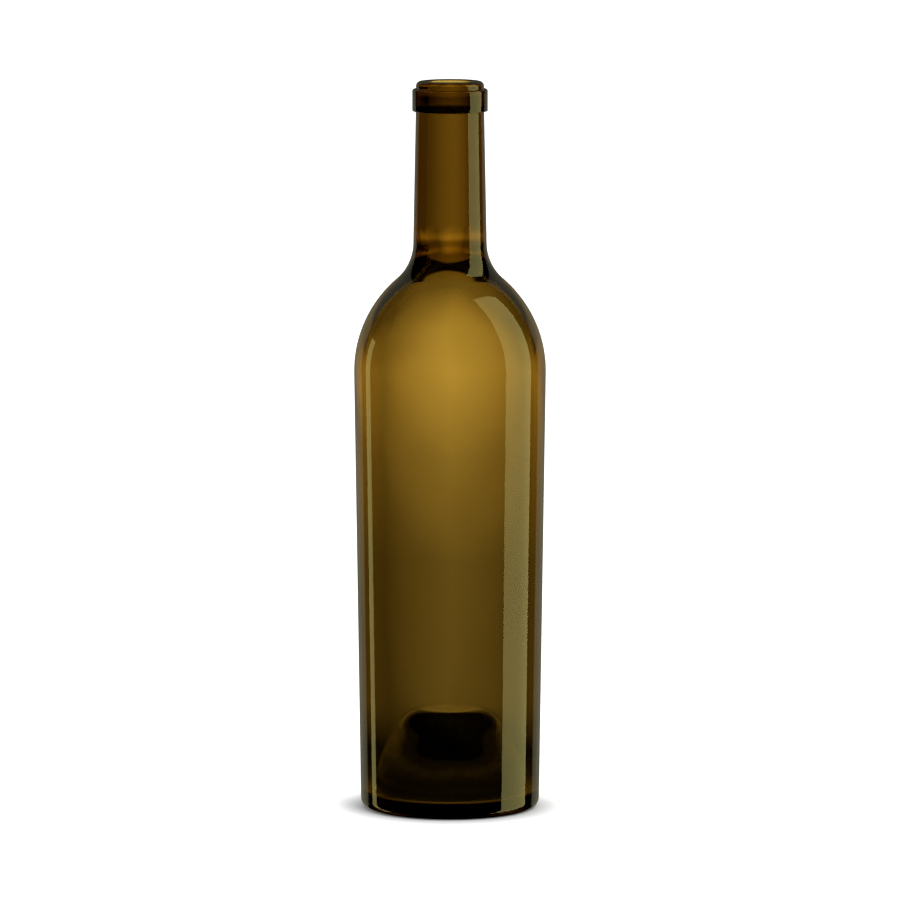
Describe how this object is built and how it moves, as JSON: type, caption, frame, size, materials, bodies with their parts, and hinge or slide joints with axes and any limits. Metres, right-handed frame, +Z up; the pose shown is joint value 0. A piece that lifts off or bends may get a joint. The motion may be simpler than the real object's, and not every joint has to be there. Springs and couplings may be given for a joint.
{
  "type": "bordeaux wine bottle",
  "caption": "Empty bordeaux wine bottle in olive-brown glass, with tapered body, round shoulder, banded lip and deep punt.",
  "frame": {"origin": "centre of the ring that the bottle stands on", "axes": "+Z up along the bottle's axis, through the mouth; the bottle is round, so X and Y are alike"},
  "size_m": [0.0808, 0.0806, 0.308],
  "materials": {
    "glass": "mould-blown dead-leaf glass, glossy"
  },
  "bodies": {
    "root": {"bottle": "glass"}
  },
  "joints": []
}
